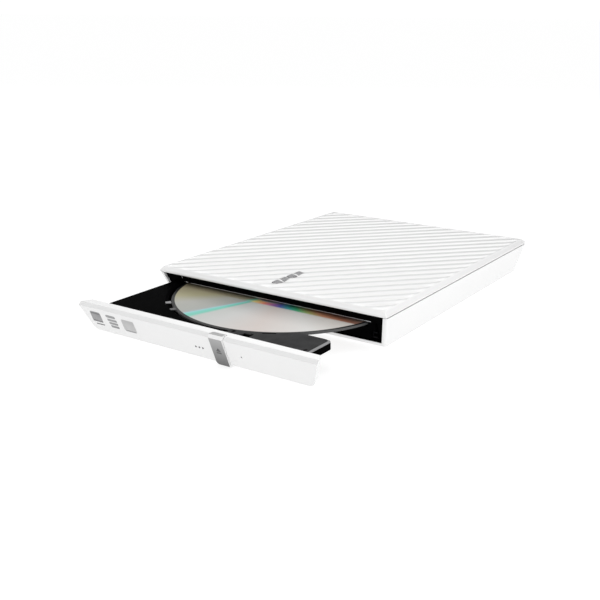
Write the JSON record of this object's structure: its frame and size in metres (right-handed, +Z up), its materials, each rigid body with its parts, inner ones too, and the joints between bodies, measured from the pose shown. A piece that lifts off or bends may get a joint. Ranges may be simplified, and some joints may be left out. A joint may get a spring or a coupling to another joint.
{
  "type": "external optical disc drive",
  "caption": "Slim portable optical drive with a ridged flat case, its loading tray drawn part way out and a disc seated on the spindle.",
  "frame": {"origin": "middle of the footprint of the whole box at rest, tray drawn part way out, at desk level", "axes": "+Z up, -Y the way the tray comes out, +X to the right of someone facing the fascia from the front"},
  "size_m": [0.1424, 0.2218, 0.0212],
  "materials": {
    "gloss_white_plastic": "moulded, glossy",
    "white_plastic": "moulded, satin",
    "black_plastic": "moulded, fine grain",
    "dark_grey_plastic": "moulded, fine grain",
    "grey_clip_plastic": "satin",
    "silver_strip": "brushed",
    "sheet_steel": "zinc plated sheet",
    "dark_steel": "blackened sheet",
    "spring_steel": "bright wire",
    "circuit_board": "green solder mask",
    "chip_black": "moulded epoxy",
    "foot_rubber": "matt",
    "flex_film": "smooth film",
    "disc_polycarbonate": "mirror layer under clear plastic",
    "lens_glass": "coated",
    "light_pipe": "clear, unlit"
  },
  "bodies": {
    "housing": {"top_cover": "gloss_white_plastic", "bottom_cover": "gloss_white_plastic", "foot_front_left": "foot_rubber", "foot_front_right": "foot_rubber", "foot_rear_left": "foot_rubber", "foot_rear_right": "foot_rubber", "case_screw_1": "spring_steel", "case_screw_2": "spring_steel", "case_screw_3": "spring_steel", "case_screw_4": "spring_steel", "mouth_frame": "black_plastic", "drive_base": "dark_steel", "drive_cover": "dark_steel", "rail_guide_left": "dark_steel", "rail_guide_right": "dark_steel", "control_board": "circuit_board", "bridge_board": "circuit_board", "bridge_chip": "chip_black", "usb_socket": "sheet_steel", "sata_connector": "black_plastic", "latch_pin": "spring_steel", "flex_cable": "flex_film"},
    "rail_left": {"slide_rail_left": "dark_steel"},
    "rail_right": {"slide_rail_right": "dark_steel"},
    "tray_carriage": {"tray": "black_plastic", "tray_cover_plate": "dark_grey_plastic", "disc_tab_1": "grey_clip_plastic", "disc_tab_2": "grey_clip_plastic", "fascia": "gloss_white_plastic", "light_guide": "light_pipe", "front_board": "circuit_board", "eject_switch": "black_plastic", "traverse_plate": "sheet_steel", "tray_shield": "sheet_steel", "spindle_motor": "sheet_steel", "guide_rod_left": "spring_steel", "guide_rod_right": "spring_steel", "sled_motor": "sheet_steel", "latch_post": "spring_steel", "latch_solenoid": "sheet_steel", "latch_spring": "spring_steel", "eject_spring": "spring_steel"},
    "button": {"eject_button": "silver_strip"},
    "spindle": {"turntable": "black_plastic", "hub_cap": "black_plastic", "disc": "disc_polycarbonate"},
    "screw": {"lead_screw": "spring_steel"},
    "sled": {"pickup_sled": "dark_grey_plastic"},
    "lens": {"objective_lens": "lens_glass"},
    "latch": {"latch_lever": "white_plastic"},
    "plunger": {"eject_plunger": "white_plastic"}
  },
  "joints": [
    {"name": "tray_slide", "type": "slide", "parent": "housing", "child": "tray_carriage", "axis": [0, -1, 0], "range_m": [-0.0495, 0.078]},
    {"name": "left_rail_slide", "type": "slide", "parent": "housing", "child": "rail_left", "axis": [0, -1, 0], "range_m": [-0.02475, 0.039]},
    {"name": "right_rail_slide", "type": "slide", "parent": "housing", "child": "rail_right", "axis": [0, -1, 0], "range_m": [-0.02475, 0.039]},
    {"name": "eject_press", "type": "slide", "parent": "tray_carriage", "child": "button", "axis": [0, 1, 0], "range_m": [0, 0.0006], "stiffness_N_per_m": 600},
    {"name": "spindle_spin", "type": "hinge", "parent": "tray_carriage", "child": "spindle", "pos_m": [0, -0.03413, 0.0112], "axis": [0, 0, 1], "continuous": true},
    {"name": "sled_slide", "type": "slide", "parent": "tray_carriage", "child": "sled", "axis": [0, -1, 0], "range_m": [-0.003, 0.031]},
    {"name": "lead_screw_spin", "type": "hinge", "parent": "tray_carriage", "child": "screw", "pos_m": [-0.0148, -0.09673, 0.007], "axis": [0, -1, 0], "range_deg": [-400, 3760]},
    {"name": "lens_focus", "type": "slide", "parent": "sled", "child": "lens", "axis": [0, 0, 1], "range_m": [-0.0003, 0.0004], "stiffness_N_per_m": 40},
    {"name": "latch_swing", "type": "hinge", "parent": "tray_carriage", "child": "latch", "pos_m": [0.03, -0.09213, 0.0068], "axis": [0, 0, -1], "range_deg": [0, 15], "stiffness_Nm_per_rad": 0.02},
    {"name": "plunger_press", "type": "slide", "parent": "tray_carriage", "child": "plunger", "axis": [0, -1, 0], "range_m": [0, 0.005], "stiffness_N_per_m": 300}
  ],
  "couplings": [
    {"joint": "left_rail_slide", "follows": "tray_slide", "ratio": 0.5},
    {"joint": "right_rail_slide", "follows": "tray_slide", "ratio": 0.5},
    {"joint": "lead_screw_spin", "follows": "sled_slide", "rad_per_m": 2094.4}
  ]
}
